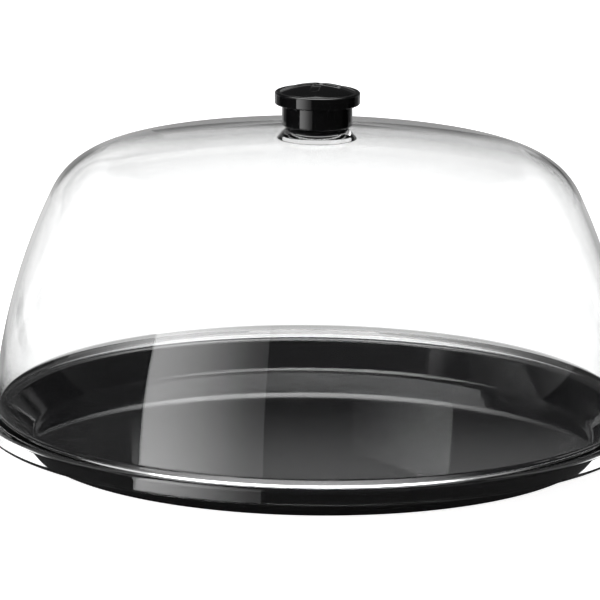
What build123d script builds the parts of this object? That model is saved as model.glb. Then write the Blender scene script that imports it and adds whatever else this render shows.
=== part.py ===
from build123d import *
import os
from math import asin, atan2, cos, hypot, pi, radians, sin, sqrt, tan

# Covered display tray: a clear dome cover with a black knob, standing on a black moulded tray.
# Millimetres, +Z up. The origin is the centre of the tray's foot ring, on the surface that it stands on.
# Every piece is turned about Z, apart from the cross recess in the knob's cap.

# Tray
seat_height = 21.0          # top of the rim, where the cover rests, above the table
rim_width = 10.5            # flat rim, from its inner to its outer edge
rim_thickness = 2.7
rim_inner_round = 1.5
rim_outer_round = 1.0
rim_under_round = 0.8
rim_root_round = 2.0        # under the rim, where it meets the wall
tray_thickness = 2.7        # floor and wall
tray_wall_lean = 38.3       # degrees from upright
floor_height = 4.5          # top of the floor above the table
cove_radius = 6.0           # between floor and wall
foot_width = 3.8            # ring that the tray stands on
foot_round = 0.8

# Dome cover
dome_edge_radius = 190.0    # lower edge of the skirt, the widest place of the whole object
dome_edge_height = 12.6     # lower edge above the table
dome_thickness = 2.8        # of the wall, and of the crown on the axis
dome_edge_round = 1.2
skirt_thickness = 4.4       # stouter than the wall, as it takes the knocks
skirt_flare = 1.0           # degrees from upright
skirt_clearance = 0.7       # between the tray's rim and the skirt around it, at the rim's top
step_height = 4.9           # foot of the wall above the seat
step_width = 6.5            # how far the skirt stands out from the foot of the wall
step_slope = 34.0           # degrees, falling outwards from the wall to the skirt
step_root_round = 1.0       # hollow corner outside, at the foot of the wall
step_nose_round = 2.6       # rounded corner outside, at the top of the skirt
seat_inner_round = 1.2      # corner inside, where the wall meets the seat
seat_outer_round = 0.6      # corner inside, where the seat meets the skirt
wall_foot_rise = 1.1        # straight foot of the wall above the step
wall_foot_lean = 4.3        # degrees from upright
wall_radius = 340.0         # gentle bulge of the wall, in section
shoulder_radius = 40.0      # outside
shoulder_inner_radius = 40.0
crown_radius = 710.0        # outside
crown_inner_radius = 680.0  # the crown grows a little thicker towards the shoulder
crown_height = 180.2        # outside of the crown on the axis, above the table

# Collar moulded on the dome, which carries the knob
collar_base_radius = 22.5
collar_top_radius = 16.6
collar_height = 6.9         # above the crown
collar_root_round = 0.5

# Knob body
spigot_radius = 14.6
spigot_length = 5.0
spigot_round = 0.6
spigot_clearance = 0.1      # bond line around the spigot in its socket
socket_gap = 0.2            # below the spigot
neck_radius = 20.15         # at its lower end
neck_height = 12.45
neck_draft = 0.5            # degrees, narrower upwards
neck_low_round = 1.0
neck_root_round = 0.5       # under the flange
flange_radius = 24.4        # at its upper edge
flange_thickness = 7.05
flange_draft = 0.8          # degrees, narrower downwards
flange_top_round = 1.2
flange_low_round = 0.8
knob_wall = 2.6

# Knob cap
cap_radius = 21.45
cap_edge_thickness = 2.2
cap_edge_round = 0.4
cap_rise = 4.2              # crown of the cap above its edge
cap_wall = 2.8
cap_clearance = 0.15        # joint between cap and body
cap_ring_length = 5.0
cap_ring_thickness = 2.0
cross_length = 27.0
cross_width = 5.0
cross_depth = 1.0
cross_turn = -10.0          # degrees about Z


# Places that several pieces share

def skirt_outside(height):
    """Radius of the skirt's outer face at a height."""
    return dome_edge_radius - (height - dome_edge_height) * tan(radians(skirt_flare))


def skirt_inside(height):
    """Radius of the skirt's inner face at a height."""
    return skirt_outside(height) - skirt_thickness / cos(radians(skirt_flare))


rim_radius = skirt_inside(seat_height) - skirt_clearance
collar_top = crown_height + collar_height
flange_bottom = collar_top + neck_height
flange_top = flange_bottom + flange_thickness
neck_top_radius = neck_radius - neck_height * tan(radians(neck_draft))
cavity_radius = neck_top_radius - knob_wall
recess_floor = flange_top - cap_edge_thickness


# Drawing helpers, in the plane of the section: x is the radius, y the height

def on_arc(centre, radius, angle):
    """Point on a circle, at an angle in radians from the outward direction."""
    return (centre[0] + radius * cos(angle), centre[1] + radius * sin(angle))


def draw_arc(centre, radius, start, end):
    """Arc between two angles, in radians, added to the open line."""
    middle = 0.5 * (start + end)
    ThreePointArc(*(on_arc(centre, radius, angle) for angle in (start, middle, end)))


def angle_from(centre, point):
    """Direction from a centre to a point, in radians from the outward direction."""
    return atan2(point[1] - centre[1], point[0] - centre[0])


def blend_centre(centre_a, radius_a, centre_b, radius_b, radius):
    """Centre of the arc that touches two larger arcs from inside, on the outer side."""
    reach_a = radius_a - radius
    reach_b = radius_b - radius
    across = (centre_b[0] - centre_a[0], centre_b[1] - centre_a[1])
    distance = hypot(*across)
    along = (reach_a ** 2 - reach_b ** 2 + distance ** 2) / (2 * distance)
    aside = sqrt(reach_a ** 2 - along ** 2)
    unit = (across[0] / distance, across[1] / distance)
    foot = (centre_a[0] + unit[0] * along, centre_a[1] + unit[1] * along)
    sides = [(foot[0] - side * unit[1], foot[1] + side * unit[0]) for side in (aside, -aside)]
    return max(sides)


def turned(corners):
    """Solid turned about Z from a closed outline of (radius, height, corner round)."""
    with BuildPart() as piece:
        with BuildSketch(Plane.XZ):
            with BuildLine():
                FilletPolyline(
                    [(radius, height) for radius, height, _ in corners],
                    radius=[corner_round for _, _, corner_round in corners],
                    close=True,
                )
            make_face()
        revolve(axis=Axis.Z)
    return piece.part


# Pieces

def make_tray():
    """Shallow tray: flat floor, leaning wall, flat rim, and a foot ring around a raised base."""
    lean = radians(tray_wall_lean)
    inner_edge = rim_radius - rim_width
    rim_underside = seat_height - rim_thickness
    base_underside = floor_height - tray_thickness

    def wall_inside(height):
        return inner_edge - (seat_height - height) * tan(lean)

    def wall_outside(height):
        return wall_inside(height) + tray_thickness / cos(lean)

    foot_outside = wall_outside(0)
    foot_inside = foot_outside - foot_width
    return turned([
        (0, floor_height, 0),
        (wall_inside(floor_height), floor_height, cove_radius),
        (inner_edge, seat_height, rim_inner_round),
        (rim_radius, seat_height, rim_outer_round),
        (rim_radius, rim_underside, rim_under_round),
        (wall_outside(rim_underside), rim_underside, rim_root_round),
        (foot_outside, 0, foot_round),
        (foot_inside, 0, foot_round),
        (foot_inside, base_underside, foot_round),
        (0, base_underside, 0),
    ])


def make_dome_cover():
    """Clear shell: crown, shoulder, wall, sloped step, stout skirt, and the collar on top."""
    lean = radians(wall_foot_lean)
    step_top = seat_height + step_height
    nose_height = step_top - step_width * tan(radians(step_slope))
    wall_corner = skirt_outside(step_top) - step_width

    def foot_outside(height):
        return wall_corner + (step_top - height) * tan(lean)

    wall_foot_height = step_top + wall_foot_rise
    wall_foot = (foot_outside(wall_foot_height), wall_foot_height)
    seat_inside = foot_outside(seat_height) - dome_thickness / cos(lean)

    crown_centre = (0, crown_height - crown_radius)
    wall_centre = on_arc(wall_foot, wall_radius, lean + pi)
    shoulder_centre = blend_centre(crown_centre, crown_radius, wall_centre, wall_radius, shoulder_radius)
    shoulder_start = angle_from(crown_centre, shoulder_centre)
    shoulder_end = angle_from(wall_centre, shoulder_centre)

    collar_angle = pi / 2 - asin(collar_base_radius / crown_radius)
    collar_foot = on_arc(crown_centre, crown_radius, collar_angle)
    socket_radius = spigot_radius + spigot_clearance
    socket_floor = collar_top - spigot_length - socket_gap

    inner_wall = wall_radius - dome_thickness
    inner_foot = on_arc(wall_centre, inner_wall, lean)
    inner_apex = (0, crown_height - dome_thickness)
    inner_crown = (0, inner_apex[1] - crown_inner_radius)
    inner_shoulder = blend_centre(inner_crown, crown_inner_radius, wall_centre, inner_wall, shoulder_inner_radius)
    inner_start = angle_from(inner_crown, inner_shoulder)
    inner_end = angle_from(wall_centre, inner_shoulder)

    with BuildPart() as piece:
        with BuildSketch(Plane.XZ) as section:
            with BuildLine():
                Polyline(
                    inner_apex,
                    (0, socket_floor),
                    (socket_radius, socket_floor),
                    (socket_radius, collar_top),
                    (collar_top_radius, collar_top),
                    collar_foot,
                )
                draw_arc(crown_centre, crown_radius, collar_angle, shoulder_start)
                draw_arc(shoulder_centre, shoulder_radius, shoulder_start, shoulder_end)
                draw_arc(wall_centre, wall_radius, shoulder_end, lean)
                FilletPolyline(
                    wall_foot,
                    (wall_corner, step_top),
                    (skirt_outside(nose_height), nose_height),
                    (dome_edge_radius, dome_edge_height),
                    (skirt_inside(dome_edge_height), dome_edge_height),
                    (skirt_inside(seat_height), seat_height),
                    (seat_inside, seat_height),
                    inner_foot,
                    radius=[
                        step_root_round,
                        step_nose_round,
                        dome_edge_round,
                        dome_edge_round,
                        seat_outer_round,
                        seat_inner_round,
                    ],
                )
                draw_arc(wall_centre, inner_wall, lean, inner_end)
                draw_arc(inner_shoulder, shoulder_inner_radius, inner_end, inner_start)
                draw_arc(inner_crown, crown_inner_radius, inner_start, pi / 2)
            make_face()
            fillet(section.vertices().sort_by_distance(collar_foot)[0], collar_root_round)
        revolve(axis=Axis.Z)
    return piece.part


def make_knob_body():
    """Cup with a flange to grip, a recess for the cap, and a spigot that goes into the collar."""
    flange_low_radius = flange_radius - flange_thickness * tan(radians(flange_draft))
    spigot_bottom = collar_top - spigot_length
    recess_radius = cap_radius + cap_clearance
    spigot_bore = spigot_radius - knob_wall
    return turned([
        (0, spigot_bottom, 0),
        (spigot_radius, spigot_bottom, spigot_round),
        (spigot_radius, collar_top, 0),
        (neck_radius, collar_top, neck_low_round),
        (neck_top_radius, flange_bottom, neck_root_round),
        (flange_low_radius, flange_bottom, flange_low_round),
        (flange_radius, flange_top, flange_top_round),
        (recess_radius, flange_top, 0),
        (recess_radius, recess_floor, 0),
        (cavity_radius, recess_floor, 0),
        (cavity_radius, collar_top + knob_wall, knob_wall / 2),
        (spigot_bore, collar_top + knob_wall, 0),
        (spigot_bore, spigot_bottom + knob_wall, knob_wall / 2),
        (0, spigot_bottom + knob_wall, 0),
    ])


def make_knob_cap():
    """Domed cap with a ring below that presses into the body, and a plain cross recess on top."""
    ring_radius = cavity_radius - cap_clearance
    ring_bore = ring_radius - cap_ring_thickness
    ring_bottom = recess_floor - cap_ring_length
    dome_radius = (cap_radius ** 2 + cap_rise ** 2) / (2 * cap_rise)
    dome_centre = (0, flange_top + cap_rise - dome_radius)
    edge_angle = angle_from(dome_centre, (cap_radius, flange_top))
    inner_dome = dome_radius - cap_wall
    bore_angle = pi / 2 - asin(ring_bore / inner_dome)

    with BuildPart() as piece:
        with BuildSketch(Plane.XZ) as section:
            with BuildLine():
                draw_arc(dome_centre, dome_radius, pi / 2, edge_angle)
                Polyline(
                    (cap_radius, flange_top),
                    (cap_radius, recess_floor),
                    (ring_radius, recess_floor),
                    (ring_radius, ring_bottom),
                    (ring_bore, ring_bottom),
                    on_arc(dome_centre, inner_dome, bore_angle),
                )
                draw_arc(dome_centre, inner_dome, bore_angle, pi / 2)
                Line(on_arc(dome_centre, inner_dome, pi / 2), on_arc(dome_centre, dome_radius, pi / 2))
            make_face()
            fillet(section.vertices().sort_by_distance((cap_radius, flange_top))[0], cap_edge_round)
        revolve(axis=Axis.Z)

    with BuildPart() as recess:
        with BuildSketch(Plane.XY.offset(flange_top)):
            for arm_turn in (cross_turn, cross_turn + 90):
                SlotOverall(cross_length, cross_width, rotation=arm_turn)
        extrude(amount=cap_rise, both=True)
        with Locations((0, 0, dome_centre[1])):
            Sphere(dome_radius - cross_depth, mode=Mode.SUBTRACT)
    return piece.part - recess.part


nodes = {
    "tray": make_tray(),
    "dome_cover": make_dome_cover(),
    "knob_body": make_knob_body(),
    "knob_cap": make_knob_cap(),
}

os.makedirs("parts", exist_ok=True)
for name, solid in nodes.items():
    export_step(solid, os.path.join("parts", name + ".step"))
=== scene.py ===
"""Looks of a covered display tray: a clear moulded dome with a black knob on a black moulded tray.

Every visible piece is turned about Z from the same section as its solid, with finer steps, and takes that
solid's place. The pieces' sizes are in millimetres and become metres where a mesh is made. The studio around
them is in metres.
"""
import logging
import math
from dataclasses import dataclass, field
from enum import Enum
from typing import Any

import bmesh
import bpy
from mathutils import Matrix, Quaternion, Vector


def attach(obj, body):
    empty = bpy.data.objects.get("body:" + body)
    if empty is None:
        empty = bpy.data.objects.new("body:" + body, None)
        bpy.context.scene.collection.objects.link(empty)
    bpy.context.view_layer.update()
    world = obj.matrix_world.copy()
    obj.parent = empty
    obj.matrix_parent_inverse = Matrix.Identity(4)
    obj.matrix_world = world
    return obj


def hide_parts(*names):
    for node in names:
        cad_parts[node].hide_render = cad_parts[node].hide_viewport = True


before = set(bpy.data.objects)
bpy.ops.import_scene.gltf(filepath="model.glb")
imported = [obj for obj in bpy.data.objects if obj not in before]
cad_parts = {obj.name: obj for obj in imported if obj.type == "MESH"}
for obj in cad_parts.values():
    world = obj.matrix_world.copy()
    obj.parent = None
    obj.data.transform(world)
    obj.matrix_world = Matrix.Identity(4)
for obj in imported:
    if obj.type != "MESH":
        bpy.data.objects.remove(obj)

LOG = logging.getLogger("covered_display_tray")
MM = 0.001
HALFWAY = 0.5  # Middle of the range from 0 to 1
Point = tuple[float, float]
Triple = tuple[float, float, float]
Arc = tuple[Point, float, float, float]


class Body(Enum):
    """Bodies that the pieces ride on."""

    TRAY = "tray"
    COVER = "cover"


class Slot(Enum):
    """Material slots of the record."""

    TRAY_BLACK = "tray_black"
    DOME_CLEAR = "dome_clear"
    KNOB_BLACK = "knob_black"


class Glow(Enum):
    """Where a light card's brightness rises to."""

    SIDEWAYS = "one side"
    MIDDLE = "the middle of its height"
    CORE = "the middle of its width"


@dataclass(frozen=True)
class Fade:
    """Smooth change of a level from start to end, while a value goes from low to high."""

    low: float
    high: float
    start: float
    end: float


class NodeBoard:
    """Adds nodes to one node tree and links them."""

    def __init__(self, tree: bpy.types.NodeTree) -> None:
        """Starts with an empty tree.

        Args:
            tree: The node tree to fill.
        """
        self.tree = tree
        tree.nodes.clear()

    def add(self, kind: str, inputs: dict[str | int, Any] | None = None, **settings: Any) -> bpy.types.Node:
        """Adds a node.

        Args:
            kind: The node's type name.
            inputs: Values or sockets for its inputs, by name or number. A socket is linked.
            **settings: The node's own properties.

        Returns:
            The new node.
        """
        node = self.tree.nodes.new(kind)
        for name, value in settings.items():
            setattr(node, name, value)
        for key, value in (inputs or {}).items():
            if isinstance(value, bpy.types.NodeSocket):
                self.tree.links.new(value, node.inputs[key])
            else:
                node.inputs[key].default_value = value
        return node

    def math(self, operation: str, *values: Any) -> bpy.types.NodeSocket:
        """Adds a Math node and returns its result.

        Args:
            operation: The Math node's operation.
            *values: Its inputs, as numbers or sockets.

        Returns:
            The output socket.
        """
        return self.add("ShaderNodeMath", dict(enumerate(values)), operation=operation).outputs[0]

    def product(self, first: bpy.types.NodeSocket, *others: Any) -> bpy.types.NodeSocket:
        """Multiplies values.

        Args:
            first: The first socket.
            *others: What it is multiplied by, as numbers or sockets.

        Returns:
            The output socket.
        """
        result = first
        for other in others:
            result = self.math("MULTIPLY", result, other)
        return result

    def mix(self, share: Any, first: Any, second: Any) -> bpy.types.NodeSocket:
        """Goes from a first number to a second one as the share goes from 0 to 1."""
        return self.add("ShaderNodeMix", {0: share, 2: first, 3: second}).outputs[0]

    def ramp(self, value: Any, low: float, high: float, start: float, end: float) -> bpy.types.NodeSocket:
        """Maps a value smoothly from one range to another.

        Args:
            value: The socket to map.
            low: Where the ramp starts.
            high: Where the ramp ends.
            start: The result at and below low.
            end: The result at and above high.

        Returns:
            The output socket.
        """
        numbers = {0: value, 1: low, 2: high, 3: start, 4: end}
        return self.add("ShaderNodeMapRange", numbers, interpolation_type="SMOOTHSTEP").outputs[0]

    def fade(self, value: Any, fade: Fade) -> bpy.types.NodeSocket:
        """Maps a value as a fade says."""
        return self.ramp(value, fade.low, fade.high, fade.start, fade.end)

    def fades(self, *pairs: tuple[Any, Fade]) -> bpy.types.NodeSocket:
        """Maps each value as its fade says, and multiplies the results."""
        return self.product(*(self.fade(value, fade) for value, fade in pairs))

    def graph(self, value: Any, stops: tuple[Point, ...]) -> bpy.types.NodeSocket:
        """Gives a level that follows a line through given points.

        Args:
            value: The socket that the level depends on.
            stops: Pairs of value and level, in rising order.

        Returns:
            The output socket.
        """
        low, high = stops[0][0], stops[-1][0]
        share = self.add("ShaderNodeMapRange", {0: value, 1: low, 2: high, 3: 0.0, 4: 1.0}).outputs[0]
        line = self.add("ShaderNodeValToRGB", {0: share})
        elements = line.color_ramp.elements
        while len(elements) < len(stops):
            elements.new(HALFWAY)
        for element, (place, level) in zip(elements, stops):
            element.position = (place - low) / (high - low)
            element.color = (level, level, level, 1)
        return line.outputs["Color"]

    def noise(self, place: Any, size: float, detail: float) -> bpy.types.NodeSocket:
        """Adds soft noise.

        Args:
            place: The socket of the place.
            size: The size of the noise's patches, in millimetres.
            detail: How many finer layers it has.

        Returns:
            The output socket.
        """
        inputs = {"Vector": place, "Scale": 1 / (size * MM), "Detail": detail}
        return self.add("ShaderNodeTexNoise", inputs).outputs["Fac"]

    def bump(self, height: Any, depth: float) -> bpy.types.NodeSocket:
        """Gives the normal of a face with low bumps.

        Args:
            height: The socket of the bumps' height, from 0 to 1.
            depth: How deep they are, in millimetres.

        Returns:
            The output socket.
        """
        inputs = {"Height": height, "Distance": depth * MM, "Strength": 1.0}
        return self.add("ShaderNodeBump", inputs).outputs["Normal"]

    def unbounced(self, path: Any) -> bpy.types.NodeSocket:
        """Gives 1 where no face has mirrored the light path yet, from the outputs of its node."""
        return self.math("LESS_THAN", path["Glossy Depth"], HALFWAY)


def new_material(name: str) -> tuple[bpy.types.Material, NodeBoard]:
    """Makes a material without nodes.

    Args:
        name: The material's name.

    Returns:
        The material, and the board for its nodes.
    """
    made = bpy.data.materials.new(name)
    made.use_nodes = True
    return made, NodeBoard(made.node_tree)


@dataclass(frozen=True)
class GlossBlack:
    """Polished black moulding, with the faint ripple that a mould leaves."""

    name: str
    slot: Slot
    deep: Triple = (0.0045, 0.0045, 0.0048)
    pale: Triple = (0.0075, 0.0075, 0.008)
    roughness: Fade = Fade(0.3, 0.7, 0.02, 0.06)
    ior: float = 1.52
    ripple_size: float = 7.0
    ripple_depth: float = 0.003
    ripple_detail: float = 1.0
    cloud_size: float = 45.0
    cloud_detail: float = 4.0

    def material(self) -> bpy.types.Material:
        """Makes the black plastic.

        Returns:
            The new material.
        """
        made, board = new_material(self.name)
        place = board.add("ShaderNodeTexCoord").outputs["Object"]
        cloud = board.noise(place, self.cloud_size, self.cloud_detail)
        ripple = board.noise(place, self.ripple_size, self.ripple_detail)
        shades = {"Factor": cloud, "A": (*self.deep, 1), "B": (*self.pale, 1)}
        shader = board.add(
            "ShaderNodeBsdfPrincipled",
            {
                "Base Color": board.add("ShaderNodeMix", shades, data_type="RGBA").outputs["Result"],
                "Roughness": board.fade(cloud, self.roughness),
                "IOR": self.ior,
                "Normal": board.bump(ripple, self.ripple_depth),
            },
        )
        board.add("ShaderNodeOutputMaterial", {"Surface": shader.outputs[0]})
        return made


@dataclass(frozen=True)
class ClearPlastic:
    """Polished clear moulding that lets lamps through, with slow waves in its faces."""

    name: str
    slot: Slot
    tint: Triple = (0.992, 0.995, 0.995)
    lamp_tint: Triple = (0.9, 0.9, 0.9)
    roughness: float = 0.0
    ior: float = 1.5
    wave_size: float = 60.0
    wave_depth: float = 0.008
    wave_detail: float = 1.0

    def material(self) -> bpy.types.Material:
        """Makes the clear plastic.

        Returns:
            The new material.
        """
        made, board = new_material(self.name)
        place = board.add("ShaderNodeTexCoord").outputs["Object"]
        wave = board.noise(place, self.wave_size, self.wave_detail)
        shader = board.add(
            "ShaderNodeBsdfPrincipled",
            {
                "Base Color": (*self.tint, 1),
                "Roughness": self.roughness,
                "IOR": self.ior,
                "Transmission Weight": 1.0,
                "Normal": board.bump(wave, self.wave_depth),
            },
        )
        lamps = board.add("ShaderNodeBsdfTransparent", {"Color": (*self.lamp_tint, 1)})
        shadow_ray = board.add("ShaderNodeLightPath").outputs["Is Shadow Ray"]
        mixed = board.add("ShaderNodeMixShader", {0: shadow_ray, 1: shader.outputs[0], 2: lamps.outputs[0]})
        board.add("ShaderNodeOutputMaterial", {"Surface": mixed.outputs[0]})
        return made


@dataclass
class Section:
    """Outline of a turned piece from its axis and back to it, as points of (radius, height)."""

    # Longest step along an arc, as a turn and as a length, and along a straight run
    step_degrees: float = 6.0
    reach: float = 3.0
    run_reach: float = 24.0

    # A run gets points this close to its ends, unless it is short
    lead: float = 0.25
    short_run: float = 1.0

    # What counts as the same point, and as no turn at a corner
    same_place: float = 1e-4
    no_turn: float = 1e-3
    points: list[Point] = field(default_factory=list)

    def add(self, point: Point) -> None:
        """Adds a point, unless the outline is already there."""
        if not self.points or math.dist(self.points[-1], point) > self.same_place:
            self.points.append(point)

    def line(self, end: Point) -> None:
        """Adds a straight run, with a point close to each end so that flat faces stay flat to the light.

        Args:
            end: Where the run ends.
        """
        start = self.points[-1]
        length = math.dist(start, end)
        if length > self.short_run:
            inner = length - 2 * self.lead
            count = max(1, math.ceil(inner / self.run_reach))
            for index in range(count + 1):
                share = (self.lead + inner * index / count) / length
                self.add((start[0] + (end[0] - start[0]) * share, start[1] + (end[1] - start[1]) * share))
        self.add(end)

    def arc(self, centre: Point, radius: float, start: float, end: float) -> None:
        """Adds an arc.

        Args:
            centre: The arc's centre.
            radius: Its radius.
            start: Its first angle, in radians from the outward direction.
            end: Its last angle.
        """
        by_turn = abs(end - start) / math.radians(self.step_degrees)
        by_length = abs(end - start) * radius / self.reach
        count = max(2, math.ceil(max(by_turn, by_length)))
        for index in range(count + 1):
            angle = start + (end - start) * index / count
            self.add((centre[0] + radius * math.cos(angle), centre[1] + radius * math.sin(angle)))

    def corners(self, corners: list[Triple]) -> None:
        """Adds straight runs through rounded corners.

        Args:
            corners: Each corner's radius, height and round. The first and last take no round.
        """
        self.add(corners[0][:2])
        for index in range(1, len(corners) - 1):
            self._rounded(corners[index - 1][:2], corners[index], corners[index + 1][:2])
        self.line(corners[-1][:2])

    def _rounded(self, before: Point, corner: Triple, after: Point) -> None:
        """Adds the run to a corner and the round of it.

        Args:
            before: The corner before it.
            corner: The corner's radius, height and round.
            after: The corner after it.
        """
        place = Vector(corner[:2])
        back = (Vector(before) - place).normalized()
        ahead = (Vector(after) - place).normalized()
        opening = back.angle(ahead)
        if corner[2] <= 0 or opening > math.pi - self.no_turn:
            self.line(tuple(place))
            return
        reach = corner[2] / math.tan(opening / 2)
        first = place + back * reach
        last = place + ahead * reach
        centre = place + (back + ahead).normalized() * (corner[2] / math.sin(opening / 2))
        start = math.atan2(first.y - centre.y, first.x - centre.x)
        turn = math.remainder(math.atan2(last.y - centre.y, last.x - centre.x) - start, math.tau)
        self.line(tuple(first))
        self.arc(tuple(centre), corner[2], start, start + turn)


class Lathe:
    """Geometry Nodes tree that turns a section about Z."""

    closing_distance: float = 1e-6

    def __init__(self) -> None:
        """Builds the tree once, for all turned pieces."""
        self.tree = bpy.data.node_groups.new("Turn about Z", "GeometryNodeTree")
        self.tree.is_modifier = True
        self.sockets: dict[str, str] = {}
        for name, kind in (
            ("Section", "NodeSocketGeometry"),
            ("Segments", "NodeSocketInt"),
            ("Closing Distance", "NodeSocketFloat"),
            ("Finish", "NodeSocketMaterial"),
        ):
            socket = self.tree.interface.new_socket(name=name, in_out="INPUT", socket_type=kind)
            self.sockets[name] = socket.identifier
        self.tree.interface.new_socket(name="Piece", in_out="OUTPUT", socket_type="NodeSocketGeometry")
        self._fill()

    def _fill(self) -> None:
        """Lays a grid of section points by segments, and sends each one to its place on the turned face."""
        board = NodeBoard(self.tree)
        given = board.add("NodeGroupInput").outputs
        size = board.add("GeometryNodeAttributeDomainSize", {0: given["Section"]}, component="MESH")
        count = size.outputs[0]
        rows = board.math("ADD", given["Segments"], 1)
        grid = board.add("GeometryNodeMeshGrid", {"Vertices X": count, "Vertices Y": rows})
        across = board.add("ShaderNodeSeparateXYZ", {0: grid.outputs["UV Map"]}).outputs
        last = board.math("SUBTRACT", count, 1)
        index = board.math("ROUND", board.math("MULTIPLY", across["X"], last))
        here = board.add("GeometryNodeInputPosition").outputs[0]
        sample = board.add(
            "GeometryNodeSampleIndex",
            {"Geometry": given["Section"], "Index": index},
            data_type="FLOAT_VECTOR",
            domain="POINT",
        )
        value = next(socket for socket in sample.inputs if socket.name == "Value" and socket.enabled)
        self.tree.links.new(here, value)
        turn = board.math("MULTIPLY", across["Y"], math.tau)
        result = next(socket for socket in sample.outputs if socket.enabled)
        turned = {"Vector": result, "Angle": turn}
        place = board.add("ShaderNodeVectorRotate", turned, rotation_type="Z_AXIS")
        piece = grid.outputs["Mesh"]
        for kind, inputs in (
            ("GeometryNodeSetPosition", {"Position": place.outputs[0]}),
            ("GeometryNodeMergeByDistance", {"Distance": given["Closing Distance"]}),
            ("GeometryNodeSetShadeSmooth", {"Shade Smooth": True}),
            ("GeometryNodeRealizeInstances", {}),
            ("GeometryNodeSetMaterial", {"Material": given["Finish"]}),
        ):
            piece = board.add(kind, {"Geometry": piece, **inputs}).outputs[0]
        board.add("NodeGroupOutput", {"Piece": piece})

    def turn(
        self, name: str, section: Section, material: bpy.types.Material, segments: int
    ) -> bpy.types.Object:
        """Turns a section into a closed piece.

        Args:
            name: The piece's name.
            section: Its outline, in millimetres.
            material: Its finish.
            segments: How many steps make the full turn.

        Returns:
            The piece, as a plain mesh at the origin.
        """
        mesh = bpy.data.meshes.new(name)
        places = [(radius * MM, 0, height * MM) for radius, height in section.points]
        mesh.from_pydata(places, [(index, index + 1) for index in range(len(places) - 1)], [])
        piece = bpy.data.objects.new(name, mesh)
        bpy.context.scene.collection.objects.link(piece)
        modifier = piece.modifiers.new("Turn", "NODES")
        modifier.node_group = self.tree
        modifier[self.sockets["Segments"]] = segments
        modifier[self.sockets["Closing Distance"]] = self.closing_distance
        modifier[self.sockets["Finish"]] = material
        depsgraph = bpy.context.evaluated_depsgraph_get()
        turned = bpy.data.meshes.new_from_object(piece.evaluated_get(depsgraph))
        piece.modifiers.remove(modifier)
        piece.data = turned
        turned.name = name
        face_outwards(turned)
        return piece


def face_outwards(mesh: bpy.types.Mesh) -> None:
    """Turns all faces of a closed mesh outwards, and stops if the mesh is open.

    Args:
        mesh: The mesh to change.
    """
    work = bmesh.new()
    work.from_mesh(mesh)
    bmesh.ops.recalc_face_normals(work, faces=work.faces)
    if any(not edge.is_manifold for edge in work.edges):
        raise ValueError(f"{mesh.name} is not closed")
    work.to_mesh(mesh)
    work.free()
    mesh.update()


def seat(piece: bpy.types.Object, node: str, body: Body) -> None:
    """Puts a finished piece in its solid's place.

    Args:
        piece: The piece.
        node: The solid that it stands for.
        body: The body that it rides on.
    """
    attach(piece, body.value)
    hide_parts(node)
    LOG.info("%s: %d faces, on body %s", piece.name, len(piece.data.polygons), body.value)


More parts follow.
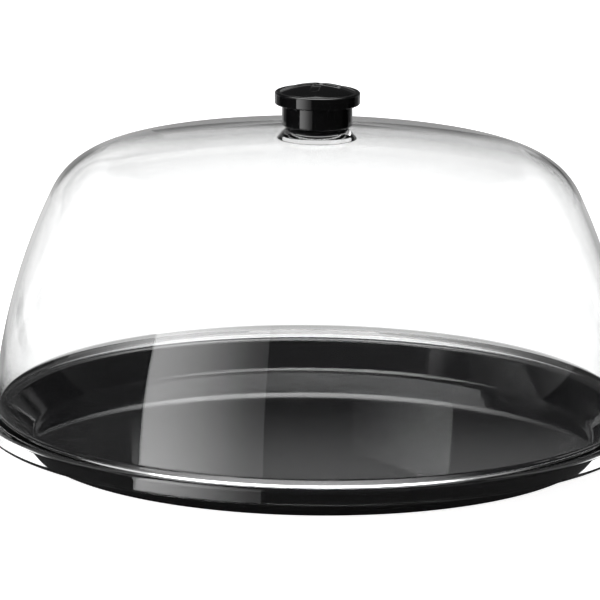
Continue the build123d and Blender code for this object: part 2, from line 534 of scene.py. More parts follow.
@dataclass
class DomeCover:
    """Clear dome with a sloped step and a stout skirt below, and a collar on top."""

    finish: ClearPlastic
    seat_height: float = 21.0
    seat_air: float = 0.05
    rim_clearance: float = 0.7
    edge_radius: float = 190.0
    edge_height: float = 12.6
    thickness: float = 2.8
    edge_round: float = 1.2
    skirt_thickness: float = 4.4
    skirt_flare: float = math.radians(1.0)
    step_height: float = 4.9
    step_width: float = 6.5
    step_slope: float = math.radians(34.0)
    step_root_round: float = 1.0
    step_nose_round: float = 2.6
    seat_inner_round: float = 1.2
    seat_outer_round: float = 0.6
    wall_foot_rise: float = 1.1
    wall_foot_lean: float = math.radians(4.3)
    wall_radius: float = 340.0
    shoulder_radius: float = 40.0
    crown_radius: float = 710.0
    crown_height: float = 180.2
    crown_inner_radius: float = 680.0
    shoulder_inner_radius: float = 40.0
    collar_base_radius: float = 22.5
    collar_top_radius: float = 16.6
    collar_height: float = 6.9
    collar_root_round: float = 0.5
    collar_edge_round: float = 0.3
    collar_apron: float = 2.5
    socket_radius: float = 14.7
    socket_depth: float = 5.2
    socket_round: float = 0.2

    # Steps of the full turn, and the longest turn of a step along the outline, in degrees
    segments: int = 220
    collar_steps: float = 3.0
    outside_steps: float = 1.25
    lip_steps: float = 6.0
    inside_steps: float = 1.5

    @property
    def collar_top(self) -> float:
        """Height of the collar's upper face, which carries the knob."""
        return self.crown_height + self.collar_height

    @property
    def rim_radius(self) -> float:
        """Radius of the tray's rim that the skirt goes round."""
        return self.skirt_inside(self.seat_height) - self.rim_clearance

    @property
    def step_top(self) -> float:
        """Height of the corner between step and wall."""
        return self.seat_height + self.step_height

    @property
    def wall_corner(self) -> float:
        """Radius of the corner between step and wall."""
        return self.skirt_outside(self.step_top) - self.step_width

    @property
    def wall_foot(self) -> Vector:
        """Lower end of the wall's outer arc, as radius and height."""
        inset = self.wall_foot_rise * math.tan(self.wall_foot_lean)
        return Vector((self.wall_corner - inset, self.step_top + self.wall_foot_rise))

    @property
    def wall_outward(self) -> Vector:
        """Direction out of the wall at its foot."""
        return Vector((math.cos(self.wall_foot_lean), math.sin(self.wall_foot_lean)))

    def skirt_outside(self, height: float) -> float:
        """Radius of the skirt's outer face at a height."""
        return self.edge_radius - (height - self.edge_height) * math.tan(self.skirt_flare)

    def skirt_inside(self, height: float) -> float:
        """Radius of the skirt's inner face at a height."""
        return self.skirt_outside(height) - self.skirt_thickness / math.cos(self.skirt_flare)

    def section(self) -> Section:
        """Draws the dome's outline.

        Returns:
            The section, from the socket's floor round the outside and back along the inside.
        """
        root_angle = math.acos(self.collar_base_radius / self.crown_radius)
        apron_angle = root_angle - self.collar_apron / self.crown_radius
        section = Section(step_degrees=self.collar_steps)
        section.corners(self._collar_corners(root_angle, apron_angle))
        section.step_degrees = self.outside_steps
        outside = self._face(
            self.crown_height, self.crown_radius, self.wall_radius, self.shoulder_radius, apron_angle
        )
        for centre, radius, upper, lower in outside:
            section.arc(centre, radius, upper, lower)
        section.step_degrees = self.lip_steps
        section.corners(self._lip_corners())
        section.step_degrees = self.inside_steps
        inside = self._face(
            self.crown_height - self.thickness,
            self.crown_inner_radius,
            self.wall_radius - self.thickness,
            self.shoulder_inner_radius,
            math.pi / 2,
        )
        for centre, radius, upper, lower in reversed(inside):
            section.arc(centre, radius, lower, upper)
        return section

    def _collar_corners(self, root_angle: float, apron_angle: float) -> list[Triple]:
        """Gives the corners from the socket's floor over the collar to the crown.

        Args:
            root_angle: Where the collar stands on the crown's arc.
            apron_angle: Where the bare crown starts.

        Returns:
            Each corner's radius, height and round.
        """
        centre = Vector((0, self.crown_height - self.crown_radius))
        root = centre + self.crown_radius * Vector((math.cos(root_angle), math.sin(root_angle)))
        apron = centre + self.crown_radius * Vector((math.cos(apron_angle), math.sin(apron_angle)))
        socket_floor = self.collar_top - self.socket_depth
        return [
            (0, socket_floor, 0),
            (self.socket_radius, socket_floor, self.socket_round),
            (self.socket_radius, self.collar_top, self.collar_edge_round),
            (self.collar_top_radius, self.collar_top, self.collar_edge_round),
            (*root, self.collar_root_round),
            (*apron, 0),
        ]

    def _lip_corners(self) -> list[Triple]:
        """Gives the corners from the wall's foot over the step, round the skirt and along the seat.

        Returns:
            Each corner's radius, height and round.
        """
        lean = self.wall_foot_lean
        nose = self.step_top - self.step_width * math.tan(self.step_slope)
        seat_underside = self.seat_height + self.seat_air
        seat_inside = (
            self.wall_corner
            + (self.step_top - seat_underside) * math.tan(lean)
            - self.thickness / math.cos(lean)
        )
        return [
            (*self.wall_foot, 0),
            (self.wall_corner, self.step_top, self.step_root_round),
            (self.skirt_outside(nose), nose, self.step_nose_round),
            (self.edge_radius, self.edge_height, self.edge_round),
            (self.skirt_inside(self.edge_height), self.edge_height, self.edge_round),
            (self.skirt_inside(seat_underside), seat_underside, self.seat_outer_round),
            (seat_inside, seat_underside, self.seat_inner_round),
            (*(self.wall_foot - self.wall_outward * self.thickness), 0),
        ]

    def _face(
        self, height: float, crown_radius: float, wall_radius: float, shoulder_radius: float, upper: float
    ) -> list[Arc]:
        """Gives the arcs of the dome's outer or inner face: crown, shoulder and wall.

        Args:
            height: The face's height on the axis.
            crown_radius: Radius of the crown's arc.
            wall_radius: Radius of the wall's arc.
            shoulder_radius: Radius of the arc that touches both from inside.
            upper: Where the crown's arc starts.

        Returns:
            Each arc's centre, radius, upper angle and lower angle.
        """
        crown = Vector((0, height - crown_radius))
        wall = self.wall_foot - self.wall_outward * self.wall_radius
        crown_reach = crown_radius - shoulder_radius
        wall_reach = wall_radius - shoulder_radius
        across = wall - crown
        along = (crown_reach ** 2 - wall_reach ** 2 + across.length_squared) / (2 * across.length)
        aside = math.sqrt(crown_reach ** 2 - along ** 2)
        unit = across.normalized()
        sideways = Vector((-unit.y, unit.x))
        centres = (crown + unit * along + sideways * side for side in (aside, -aside))
        shoulder = max(centres, key=lambda centre: centre.x)
        from_crown = math.atan2(shoulder.y - crown.y, shoulder.x - crown.x)
        from_wall = math.atan2(shoulder.y - wall.y, shoulder.x - wall.x)
        return [
            (tuple(crown), crown_radius, upper, from_crown),
            (tuple(shoulder), shoulder_radius, from_crown, from_wall),
            (tuple(wall), wall_radius, from_wall, self.wall_foot_lean),
        ]

    def build(self, lathe: Lathe) -> bpy.types.Object:
        """Makes the dome.

        Args:
            lathe: What turns the section.

        Returns:
            The dome, seated.
        """
        dome = lathe.turn("clear_dome_cover", self.section(), self.finish.material(), self.segments)
        seat(dome, "dome_cover", Body.COVER)
        return dome


@dataclass
class Tray:
    """Black tray: flat floor, leaning wall, flat rim and a foot ring around a raised base."""

    finish: GlossBlack
    rim_radius: float
    seat_height: float = 21.0
    rim_width: float = 10.5
    rim_thickness: float = 2.7
    rim_inner_round: float = 1.5
    rim_outer_round: float = 1.0
    rim_under_round: float = 0.8
    rim_root_round: float = 2.0
    thickness: float = 2.7
    wall_lean: float = math.radians(38.3)
    floor_height: float = 4.5
    cove_radius: float = 6.0
    foot_width: float = 3.8
    foot_round: float = 0.8
    segments: int = 256
    round_steps: float = 4.0

    def wall_inside(self, height: float) -> float:
        """Radius of the wall's inner face at a height."""
        return self.rim_radius - self.rim_width - (self.seat_height - height) * math.tan(self.wall_lean)

    def wall_outside(self, height: float) -> float:
        """Radius of the wall's outer face at a height."""
        return self.wall_inside(height) + self.thickness / math.cos(self.wall_lean)

    def section(self) -> Section:
        """Draws the tray's outline.

        Returns:
            The section, from the floor's centre over the rim to the centre of the underside.
        """
        rim_underside = self.seat_height - self.rim_thickness
        base_underside = self.floor_height - self.thickness
        foot_inside = self.wall_outside(0) - self.foot_width
        section = Section(step_degrees=self.round_steps)
        section.corners([
            (0, self.floor_height, 0),
            (self.wall_inside(self.floor_height), self.floor_height, self.cove_radius),
            (self.rim_radius - self.rim_width, self.seat_height, self.rim_inner_round),
            (self.rim_radius, self.seat_height, self.rim_outer_round),
            (self.rim_radius, rim_underside, self.rim_under_round),
            (self.wall_outside(rim_underside), rim_underside, self.rim_root_round),
            (self.wall_outside(0), 0, self.foot_round),
            (foot_inside, 0, self.foot_round),
            (foot_inside, base_underside, self.foot_round),
            (0, base_underside, 0),
        ])
        return section

    def build(self, lathe: Lathe) -> bpy.types.Object:
        """Makes the tray.

        Args:
            lathe: What turns the section.

        Returns:
            The tray, seated.
        """
        tray = lathe.turn("black_tray", self.section(), self.finish.material(), self.segments)
        seat(tray, "tray", Body.TRAY)
        return tray


@dataclass(frozen=True)
class CrossRecess:
    """Plain cross sunk into the knob's cap."""

    length: float = 27.0
    width: float = 5.0
    depth: float = 1.0
    turn: float = math.radians(-10.0)
    edge: float = 0.5

    def depth_at(self, across: float, along: float) -> float:
        """Gives the recess's depth at a place.

        Args:
            across: The place's X, in millimetres.
            along: The place's Y.

        Returns:
            How far the face sinks there.
        """
        turned = Vector((across, along))
        turned.rotate(Matrix.Rotation(-self.turn, 2))
        reach = (self.length - self.width) / 2
        inside = max(
            self.width / 2 - math.hypot(max(abs(far) - reach, 0), near)
            for far, near in ((turned.x, turned.y), (turned.y, turned.x))
        )
        share = min(max(inside / self.edge + HALFWAY, 0), 1)
        return self.depth * share * share * (3 - 2 * share)


@dataclass
class Knob:
    """Black hollow knob: a body with spigot, neck and flange, and the domed cap that closes it."""

    finish: GlossBlack
    collar_top: float
    seat_air: float = 0.05
    spigot_radius: float = 14.72
    spigot_length: float = 5.0
    spigot_round: float = 0.6
    neck_radius: float = 20.15
    neck_height: float = 12.45
    neck_draft: float = math.radians(0.5)
    neck_low_round: float = 1.0
    neck_root_round: float = 0.5
    flange_radius: float = 24.4
    flange_thickness: float = 7.05
    flange_draft: float = math.radians(0.8)
    flange_top_round: float = 1.2
    flange_low_round: float = 0.8
    wall: float = 2.6
    edge_round: float = 0.15
    cap_radius: float = 21.45
    cap_edge_thickness: float = 2.2
    cap_edge_width: float = 2.0
    cap_edge_round: float = 0.4
    cap_rise: float = 4.2
    cap_wall: float = 2.8
    cap_clearance: float = 0.15
    cap_ring_length: float = 5.0
    cap_ring_thickness: float = 2.0
    recess: CrossRecess = field(default_factory=CrossRecess)

    # Steps of the full turn, step along the cap's top, and how near to its sphere a point of the top lies
    body_segments: int = 192
    cap_segments: int = 320
    cap_step: float = 0.3
    cap_tolerance: float = 0.01

    @property
    def flange_bottom(self) -> float:
        """Height of the flange's underside."""
        return self.collar_top + self.neck_height

    @property
    def flange_top(self) -> float:
        """Height of the flange's upper face and of the cap's edge."""
        return self.flange_bottom + self.flange_thickness

    @property
    def neck_top_radius(self) -> float:
        """Radius of the neck under the flange."""
        return self.neck_radius - self.neck_height * math.tan(self.neck_draft)

    @property
    def cavity_radius(self) -> float:
        """Radius of the hollow inside the neck."""
        return self.neck_top_radius - self.wall

    def body_section(self) -> Section:
        """Draws the knob body's outline.

        Returns:
            The section, from the spigot's underside round the flange and down into the hollow.
        """
        spigot_bottom = self.collar_top - self.spigot_length
        neck_bottom = self.collar_top + self.seat_air
        flange_low_radius = self.flange_radius - self.flange_thickness * math.tan(self.flange_draft)
        recess_radius = self.cap_radius + self.cap_clearance
        recess_floor = self.flange_top - self.cap_edge_thickness - self.seat_air
        bore = self.spigot_radius - self.wall
        section = Section()
        section.corners([
            (0, spigot_bottom, 0),
            (self.spigot_radius, spigot_bottom, self.spigot_round),
            (self.spigot_radius, neck_bottom, self.edge_round),
            (self.neck_radius, neck_bottom, self.neck_low_round),
            (self.neck_top_radius, self.flange_bottom, self.neck_root_round),
            (flange_low_radius, self.flange_bottom, self.flange_low_round),
            (self.flange_radius, self.flange_top, self.flange_top_round),
            (recess_radius, self.flange_top, self.edge_round),
            (recess_radius, recess_floor, self.edge_round),
            (self.cavity_radius, recess_floor, self.edge_round),
            (self.cavity_radius, self.collar_top + self.wall, self.wall / 2),
            (bore, self.collar_top + self.wall, self.edge_round),
            (bore, spigot_bottom + self.wall, self.wall / 2),
            (0, spigot_bottom + self.wall, 0),
        ])
        return section

    def cap_section(self) -> Section:
        """Draws the cap's outline.

        Returns:
            The section, from the top over the edge, round the ring and back under the dome.
        """
        ring = self.cavity_radius - self.cap_clearance
        bore = ring - self.cap_ring_thickness
        recess_floor = self.flange_top - self.cap_edge_thickness
        centre, radius = self.cap_sphere()
        inner = radius - self.cap_wall
        flat_radius = self.cap_radius - self.cap_edge_width
        flat_angle = math.acos(flat_radius / radius)
        bore_angle = math.acos(bore / inner)
        section = Section(reach=self.cap_step)
        section.arc((0, centre), radius, math.pi / 2, flat_angle)
        section.reach = Section.reach
        section.corners([
            (flat_radius, centre + radius * math.sin(flat_angle), 0),
            (self.cap_radius, self.flange_top, self.cap_edge_round),
            (self.cap_radius, recess_floor, self.edge_round),
            (ring, recess_floor, self.edge_round),
            (ring, recess_floor - self.cap_ring_length, self.edge_round),
            (bore, recess_floor - self.cap_ring_length, self.edge_round),
            (bore, centre + inner * math.sin(bore_angle), 0),
        ])
        section.arc((0, centre), inner, bore_angle, math.pi / 2)
        return section

    def cap_sphere(self) -> tuple[float, float]:
        """Gives the height of the centre, and the radius, of the cap's top."""
        radius = (self.cap_radius ** 2 + self.cap_rise ** 2) / (2 * self.cap_rise)
        return self.flange_top + self.cap_rise - radius, radius

    def sink_cross(self, cap: bpy.types.Object) -> None:
        """Sinks the cross recess into the cap's top.

        Args:
            cap: The turned cap.
        """
        centre_height, radius = self.cap_sphere()
        centre = Vector((0, 0, centre_height))
        for vertex in cap.data.vertices:
            ray = vertex.co / MM - centre
            if abs(ray.length - radius) < self.cap_tolerance:
                depth = self.recess.depth_at(vertex.co.x / MM, vertex.co.y / MM)
                vertex.co = (centre + ray * ((radius - depth) / radius)) * MM
        cap.data.update()

    def build(self, lathe: Lathe) -> list[bpy.types.Object]:
        """Makes the knob's two pieces.

        Args:
            lathe: What turns the sections.

        Returns:
            Body and cap, seated.
        """
        material = self.finish.material()
        body = lathe.turn("black_knob_body", self.body_section(), material, self.body_segments)
        cap = lathe.turn("black_knob_cap", self.cap_section(), material, self.cap_segments)
        self.sink_cross(cap)
        seat(body, "knob_body", Body.COVER)
        seat(cap, "knob_cap", Body.COVER)
        return [body, cap]


def flat_panel(name: str, across: float, along: float, material: bpy.types.Material) -> bpy.types.Object:
    """Makes a flat panel around the origin, facing up.

    Args:
        name: The panel's name.
        across: Half of its width.
        along: Half of its height.
        material: Its finish.

    Returns:
        The panel, in the scene.
    """
    mesh = bpy.data.meshes.new(name)
    corners = [(-across, -along, 0), (across, -along, 0), (across, along, 0), (-across, along, 0)]
    mesh.from_pydata(corners, [], [(0, 1, 2, 3)])
    mesh.materials.append(material)
    panel = bpy.data.objects.new(name, mesh)
    bpy.context.scene.collection.objects.link(panel)
    return panel


@dataclass(frozen=True)
class LightCard:
    """Flat lit panel beside or above the object, seen only as a reflection."""

    name: str
    place: Triple
    aim: Triple
    width: float
    height: float
    dim: float
    bright: float
    glow: Glow = Glow.SIDEWAYS
    core: float = 0.0

    def build(self) -> bpy.types.Object:
        """Makes the panel.

        Returns:
            The panel.
        """
        card = flat_panel(self.name, self.width / 2, self.height / 2, self._material())
        card.location = self.place
        card.rotation_mode = "QUATERNION"
        card.rotation_quaternion = (Vector(self.aim) - Vector(self.place)).to_track_quat("Z", "Y")
        card.visible_camera = False
        card.visible_shadow = False
        return card

    def _material(self) -> bpy.types.Material:
        """Lights the panel's front, and hides the panel from a look straight through the dome.

        Returns:
            The new material.
        """
        made, board = new_material(self.name)
        front = board.math("SUBTRACT", 1.0, board.add("ShaderNodeNewGeometry").outputs["Backfacing"])
        light = board.add("ShaderNodeEmission", {"Strength": board.product(self._level(board), front)})
        path = board.add("ShaderNodeLightPath").outputs
        hidden = board.product(path["Is Transmission Ray"], board.unbounced(path))
        clear = board.add("ShaderNodeBsdfTransparent")
        mixed = board.add("ShaderNodeMixShader", {0: hidden, 1: light.outputs[0], 2: clear.outputs[0]})
        board.add("ShaderNodeOutputMaterial", {"Surface": mixed.outputs[0]})
        return made

    def _level(self, board: NodeBoard) -> bpy.types.NodeSocket:
        """Gives the panel's brightness, which rises from dim to bright as its glow says.

        Args:
            board: The panel's board.

        Returns:
            The brightness socket.
        """
        place = board.add("ShaderNodeTexCoord").outputs["Object"]
        parts = board.add("ShaderNodeSeparateXYZ", {0: place}).outputs
        if self.glow is Glow.SIDEWAYS:
            return board.ramp(parts["X"], -self.width / 2, self.width / 2, self.dim, self.bright)
        axis, edge = ("X", self.width / 2) if self.glow is Glow.CORE else ("Y", self.height / 2)
        return board.ramp(board.math("ABSOLUTE", parts[axis]), self.core, edge, self.bright, self.dim)


@dataclass(frozen=True)
class PaleFloor:
    """Pale floor around the tray: white to a straight look, and dimmer to reflections.

    Distances are in metres from the middle of the tray, and the photograph's camera stands towards -Y.
    """

    through_dome: float
    half_size: float = 20.0
    colour: float = 0.8
    glow: Fade = Fade(0.25, 1.0, 0.9, 1.0)

    # Painted shade of the tray on the floor, seen only through the dome: behind it, around it but open on
    # the left, and under its rim in front
    shade_centre: Triple = (0.0, 0.12, 0.0)
    shade_levels: tuple[Point, ...] = ((0.12, 0.5), (0.165, 0.6), (0.186, 0.66), (0.192, 0.0))
    shade_back: Fade = Fade(-0.03, 0.06, 0.0, 1.0)
    around_inside: Fade = Fade(0.195, 0.205, 0.0, 1.0)
    around_outside: Fade = Fade(0.205, 0.27, 0.6, 0.0)
    open_front: Fade = Fade(-0.12, -0.08, 0.0, 1.0)
    open_back: Fade = Fade(-0.03, 0.06, 1.0, 0.0)
    open_left: Fade = Fade(-0.12, -0.08, 1.0, 0.0)
    under: Fade = Fade(0.184, 0.192, 0.96, 0.0)
    under_front: Fade = Fade(-0.08, -0.045, 1.0, 0.0)

    # Painted light and shade that reflections see on the floor: pale behind the tray, darker under its rim,
    # less so far off and at the sides, dark in front
    mirrored_levels: tuple[Point, ...] = (
        (0.178, 0.5), (0.188, 1.3), (0.25, 1.3), (0.3, 0.35), (0.4, 0.35), (0.48, 0.6), (1.2, 0.68)
    )
    mirrored_front: float = 0.04
    mirrored_back: Fade = Fade(0.0, 0.06, 0.0, 1.0)
    far: Fade = Fade(0.6, 1.6, 0.0, 0.4)
    far_aside: Fade = Fade(0.2, 0.36, 1.0, 0.0)
    near: Fade = Fade(0.2, 0.3, 1.0, 0.0)
    near_aside: Fade = Fade(0.35, 0.75, 1.0, 0.1)
    wide_aside: Fade = Fade(0.79, 0.9, 1.0, 0.0)
    right_side: Fade = Fade(0.2, 0.45, 1.0, 0.65)
    ring_inside: Fade = Fade(0.75, 0.9, 0.0, 1.0)
    ring_outside: Fade = Fade(1.25, 1.5, 1.0, 0.0)
    ring_aside: Fade = Fade(0.57, 0.67, 0.0, -0.75)
    covered_near: Fade = Fade(0.195, 0.205, 1.0, 0.0)

    def build(self) -> bpy.types.Object:
        """Makes the floor.

        Returns:
            The floor.
        """
        made, board = new_material("pale_floor")
        path = board.add("ShaderNodeLightPath").outputs
        place = board.add("ShaderNodeTexCoord").outputs["Object"]
        parts = board.add("ShaderNodeSeparateXYZ", {0: place}).outputs
        radius = board.add("ShaderNodeVectorMath", {0: place}, operation="LENGTH").outputs["Value"]
        pale = board.add("ShaderNodeBsdfDiffuse", {"Color": (*[self.colour] * 3, 1)})
        # Through the dome the floor shows no lit diffuse, only its glow darkened by a painted shade of the
        # tray.
        soft = board.add("ShaderNodeMixShader", {0: path["Is Transmission Ray"], 1: pale.outputs[0]})
        shade = self._shade(board, place, parts, radius)
        through = board.math("MULTIPLY_ADD", shade, -self.through_dome, self.through_dome)
        seen = board.math("MULTIPLY_ADD", path["Is Transmission Ray"], through, path["Is Camera Ray"])
        strength = board.product(seen, board.fade(radius, self.glow))
        glow = board.add("ShaderNodeEmission", {"Strength": strength})
        lit = board.add("ShaderNodeAddShader", {0: soft.outputs[0], 1: glow.outputs[0]})
        # Painted light and shade of the floor that only reflections see.
        mirrored = self._painted_reflection(board, parts, radius)
        mixed = board.add("ShaderNodeMixShader", {0: board.unbounced(path), 1: mirrored, 2: lit.outputs[0]})
        board.add("ShaderNodeOutputMaterial", {"Surface": mixed.outputs[0]})
        floor = flat_panel("pale_floor", self.half_size, self.half_size, made)
        return floor

    def _shade(self, board: NodeBoard, place: Any, parts: Any, radius: Any) -> bpy.types.NodeSocket:
        """Gives the painted shade of the tray on the floor, as the share of its light taken away, seen only
        through the dome.

        Args:
            board: The floor's board.
            place: The socket of the place on the floor.
            parts: The sockets of its X and Y.
            radius: The socket of its distance from the middle.

        Returns:
            The socket of the share.
        """
        ends = {0: place, 1: self.shade_centre}
        off_centre = board.add("ShaderNodeVectorMath", ends, operation="DISTANCE").outputs["Value"]
        behind = board.graph(off_centre, self.shade_levels)
        behind = board.product(behind, board.fade(parts["Y"], self.shade_back))
        open_side = board.fades(
            (parts["Y"], self.open_front), (parts["Y"], self.open_back), (parts["X"], self.open_left)
        )
        around = board.product(
            board.fade(radius, self.around_outside),
            board.math("SUBTRACT", 1.0, open_side),
            board.fade(radius, self.around_inside),
        )
        under = board.fades((radius, self.under), (parts["Y"], self.under_front))
        return board.math("MAXIMUM", board.math("MAXIMUM", behind, around), under)

    def _painted_reflection(self, board: NodeBoard, parts: Any, radius: Any) -> bpy.types.NodeSocket:
        """Paints light and shade on the floor for reflections, which pass through it in front of the object.

        Args:
            board: The floor's board.
            parts: The sockets of the place's X and Y.
            radius: The socket of its distance from the middle.

        Returns:
            The shader socket.
        """
        aside = board.math("DIVIDE", board.math("ABSOLUTE", parts["X"]), radius)
        far = board.fades((radius, self.far), (aside, self.far_aside))
        level = board.math("SUBTRACT", board.graph(radius, self.mirrored_levels), far)
        wide = board.fade(aside, self.wide_aside)
        sides = board.mix(board.fade(radius, self.near), wide, board.fade(aside, self.near_aside))
        right = board.fade(board.math("DIVIDE", parts["X"], radius), self.right_side)
        level = board.product(level, sides, right)
        ring = board.fades((radius, self.ring_inside), (radius, self.ring_outside), (aside, self.ring_aside))
        level = board.math("MULTIPLY_ADD", level, ring, level)
        back = board.fade(parts["Y"], self.mirrored_back)
        light = board.add("ShaderNodeEmission", {"Strength": board.mix(back, self.mirrored_front, level)})
        covered = board.math("MAXIMUM", back, board.fade(radius, self.covered_near))
        clear = board.add("ShaderNodeBsdfTransparent")
        mixed = board.add("ShaderNodeMixShader", {0: covered, 1: clear.outputs[0], 2: light.outputs[0]})
        return mixed.outputs[0]


@dataclass(frozen=True)
class Spot:
    """Soft round glow in the surroundings, towards an axis."""

    axis: Triple
    reach: float
    glow: float


@dataclass(frozen=True)
class Surroundings:
    """What lies around the floor: white to a straight look, and a dim studio to reflections.

    Fades run over the X, Y or Z of the direction that is looked in.
    """

    through_dome: float
    behind_levels: tuple[Point, ...] = (
        (-0.03, 0.03), (-0.01, 0.3), (0.06, 0.25), (0.12, 0.12), (0.2, 0.055), (0.45, 0.025)
    )
    before_levels: tuple[Point, ...] = ((0.0, 0.035), (0.3, 0.07))
    far_left: Fade = Fade(-0.97, -0.9, 0.25, 1.0)
    front_to_back: Fade = Fade(-0.2, 0.3, 0.0, 1.0)

    # Glow behind on the left, with a raised part nearer the middle, and on the right
    left_inside: Fade = Fade(-0.36, -0.22, 1.0, 0.0)
    left_outside: Fade = Fade(-0.76, -0.64, 0.0, 0.7)
    high_inside: Fade = Fade(-0.12, -0.05, 0.75, 0.0)
    high_foot: Fade = Fade(0.05, 0.12, 0.0, 1.0)
    high_top: Fade = Fade(0.205, 0.235, 1.0, 0.0)
    right_inside: Fade = Fade(0.2, 0.45, 0.0, 1.0)
    right_outside: Fade = Fade(0.6, 0.74, 0.5, 0.0)
    right_height: Fade = Fade(0.0, 0.25, 1.0, 0.1)
    side_foot: Fade = Fade(-0.03, -0.01, 0.0, 1.0)
    side_top: Fade = Fade(0.26, 0.3, 1.0, 0.0)
    side_slant: float = 0.3

    # Glow that the dome's shoulder mirrors, hidden from what looks through the plastic
    shoulder_foot: Fade = Fade(0.235, 0.255, 0.0, 0.42)
    shoulder_top: Fade = Fade(0.275, 0.3, 1.0, 0.0)
    shoulder_right: Fade = Fade(-0.02, 0.1, 1.0, 0.35)

    # Glows to the left and right in front
    spots: tuple[Spot, ...] = (Spot((-0.78, -0.25, 0.57), 0.8, 0.85), Spot((0.7, -0.55, 0.46), 0.75, 0.38))
    spot_foot: Fade = Fade(0.3, 0.42, 0.0, 1.0)
    spot_top: Fade = Fade(0.62, 0.7, 1.0, 0.0)
    spot_back: Fade = Fade(0.02, 0.2, 1.0, 0.0)

    # White that comes to the eye after several bounces inside the clear plastic
    piped_bounces: float = 2.5
    piped_foot: Fade = Fade(0.1, 0.14, 0.0, 1.0)
    piped_top: Fade = Fade(0.24, 0.28, 1.0, 0.0)
    piped_back: Fade = Fade(0.6, 0.7, 0.0, 1.0)

    def build(self) -> None:
        """Makes the world."""
        world = bpy.data.worlds.new("studio")
        bpy.context.scene.world = world
        world.use_nodes = True
        board = NodeBoard(world.node_tree)
        path = board.add("ShaderNodeLightPath").outputs
        looked = board.add("ShaderNodeTexCoord").outputs["Generated"]
        way = board.add("ShaderNodeSeparateXYZ", {0: looked}).outputs
        white = self._white(board, path, way)
        dim = board.product(self._dim(board, path, looked, way), board.math("LESS_THAN", white, HALFWAY))
        light = board.add("ShaderNodeBackground", {"Strength": board.math("ADD", dim, white)})
        board.add("ShaderNodeOutputWorld", {"Surface": light.outputs[0]})

    def _white(self, board: NodeBoard, path: Any, way: Any) -> bpy.types.NodeSocket:
        """Gives the white that is seen straight or through the dome, or comes piped inside its plastic.

        Args:
            board: The world's board.
            path: The sockets of the light path.
            way: The sockets of the direction's X, Y and Z.

        Returns:
            The brightness socket.
        """
        through = path["Is Transmission Ray"]
        seen = board.math("MULTIPLY_ADD", through, self.through_dome, path["Is Camera Ray"])
        bounced = board.math("GREATER_THAN", path["Glossy Depth"], self.piped_bounces)
        band = board.fades(
            (way["Z"], self.piped_foot), (way["Z"], self.piped_top), (way["Y"], self.piped_back)
        )
        piped = board.product(through, bounced, band)
        return board.math("MAXIMUM", board.product(seen, board.unbounced(path)), piped)

    def _dim(self, board: NodeBoard, path: Any, looked: Any, way: Any) -> bpy.types.NodeSocket:
        """Gives the dim studio that reflections show.

        Args:
            board: The world's board.
            path: The sockets of the light path.
            looked: The socket of the direction.
            way: The sockets of its X, Y and Z.

        Returns:
            The brightness socket.
        """
        behind = board.graph(way["Z"], self.behind_levels)
        behind = board.product(behind, board.fade(way["X"], self.far_left))
        behind = board.math("MAXIMUM", behind, self._sides(board, way))
        shoulder = board.fades(
            (way["Z"], self.shoulder_foot), (way["Z"], self.shoulder_top), (way["X"], self.shoulder_right)
        )
        mirrored = board.math("SUBTRACT", path["Is Glossy Ray"], path["Is Transmission Ray"])
        behind = board.math("MAXIMUM", behind, board.product(shoulder, mirrored))
        before = board.graph(way["Z"], self.before_levels)
        level = board.mix(board.fade(way["Y"], self.front_to_back), before, behind)
        for spot in self.spots:
            along = board.add("ShaderNodeVectorMath", {0: looked, 1: spot.axis}, operation="DOT_PRODUCT")
            glow = board.fades(
                (along.outputs["Value"], Fade(spot.reach, 1.0, 0.0, spot.glow)),
                (way["Z"], self.spot_foot),
                (way["Z"], self.spot_top),
                (way["Y"], self.spot_back),
            )
            level = board.math("ADD", level, glow)
        return level

    def _sides(self, board: NodeBoard, way: Any) -> bpy.types.NodeSocket:
        """Gives the glows behind on the left and right.

        Args:
            board: The world's board.
            way: The sockets of the direction's X, Y and Z.

        Returns:
            The brightness socket.
        """
        slant = board.math("MULTIPLY_ADD", board.math("ABSOLUTE", way["X"]), self.side_slant, way["Z"])
        top = board.fade(slant, self.side_top)
        high = board.fades(
            (way["X"], self.high_inside), (way["Z"], self.high_foot), (way["Z"], self.high_top)
        )
        left = board.math("MAXIMUM", high, board.fade(way["X"], self.left_inside))
        left = board.product(left, board.fade(way["X"], self.left_outside), top)
        right = board.fades(
            (way["X"], self.right_inside), (way["X"], self.right_outside), (way["Z"], self.right_height)
        )
        both = board.math("MAXIMUM", left, board.product(right, top))
        return board.product(both, board.fade(way["Z"], self.side_foot))


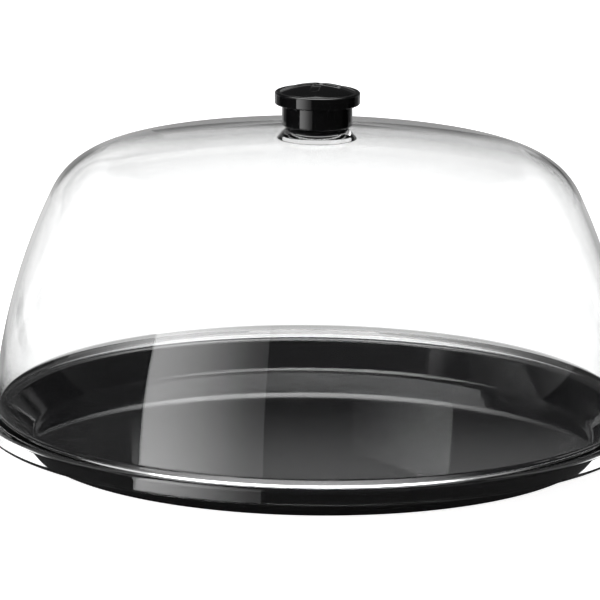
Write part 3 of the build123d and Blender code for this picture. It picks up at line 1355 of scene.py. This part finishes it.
@dataclass(frozen=True)
class PhotoCamera:
    """Camera at the photograph's place, with its focal length and aim in pixels of the picture."""

    distance: float = 3.2
    elevation: float = math.radians(13.487)
    roll: float = math.radians(0.7215)
    aim_height: float = 0.0385
    picture_width: float = 600.0
    focal_length: float = 5566.0
    aim_aside: float = 13.86
    aim_up: float = 78.93
    sensor_width: float = 36.0
    farthest: float = 100.0

    def build(self) -> None:
        """Makes the camera and hands it to the scene."""
        camera = bpy.data.objects.new("camera", bpy.data.cameras.new("camera"))
        bpy.context.scene.collection.objects.link(camera)
        camera.data.lens = self.sensor_width * self.focal_length / self.picture_width
        camera.data.sensor_width = self.sensor_width
        camera.data.clip_end = self.farthest
        back = Vector((0, -math.cos(self.elevation), math.sin(self.elevation)))
        camera.location = Vector((0, 0, self.aim_height)) + back * self.distance
        camera.rotation_mode = "QUATERNION"
        camera.rotation_quaternion = (
            (-back).to_track_quat("-Z", "Y")
            @ Quaternion((0, 0, 1), self.roll)
            @ Quaternion((0, 1, 0), self.aim_aside / self.focal_length)
            @ Quaternion((1, 0, 0), self.aim_up / self.focal_length)
        )
        bpy.context.scene.camera = camera


@dataclass(frozen=True)
class Studio:
    """Everything around the object: floor, surroundings, light cards and camera."""

    through_dome: float = 1.8
    bounces: int = 40
    glossy_bounces: int = 32
    transmission_bounces: int = 24
    transparent_bounces: int = 16
    cards: tuple[LightCard, ...] = (
        LightCard(
            name="overhead_softbox",
            place=(-0.07, 0.25, 1.1),
            aim=(-0.07, 0.25, 0),
            width=1.45,
            height=0.8,
            dim=0.0,
            bright=6.3,
            glow=Glow.CORE,
            core=0.1,
        ),
        LightCard(
            name="left_softbox",
            place=(-0.576, -0.794, 0.35),
            aim=(0.118, -0.074, 0.35),
            width=0.759,
            height=1.5,
            dim=0.45,
            bright=3.5,
        ),
        LightCard(
            name="back_card",
            place=(0.254, 0.8, 0.24),
            aim=(0.254, 0, 0.24),
            width=0.785,
            height=0.126,
            dim=0.0,
            bright=0.31,
            glow=Glow.MIDDLE,
        ),
    )

    def build(self) -> None:
        """Makes everything around the object."""
        scene = bpy.context.scene
        scene.view_settings.view_transform = "Standard"
        scene.cycles.max_bounces = self.bounces
        scene.cycles.glossy_bounces = self.glossy_bounces
        scene.cycles.transmission_bounces = self.transmission_bounces
        scene.cycles.transparent_max_bounces = self.transparent_bounces
        PaleFloor(self.through_dome).build()
        Surroundings(self.through_dome).build()
        for card in self.cards:
            card.build()
        PhotoCamera().build()


def main() -> None:
    """Builds all pieces in order, and then the studio."""
    logging.basicConfig(level=logging.INFO)
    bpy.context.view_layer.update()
    lathe = Lathe()
    cover = DomeCover(ClearPlastic("clear_dome", Slot.DOME_CLEAR))
    Tray(GlossBlack("black_tray", Slot.TRAY_BLACK), cover.rim_radius).build(lathe)
    cover.build(lathe)
    Knob(GlossBlack("black_knob", Slot.KNOB_BLACK, ripple_size=5.0), cover.collar_top).build(lathe)
    Studio().build()


if __name__ == "__main__":
    main()
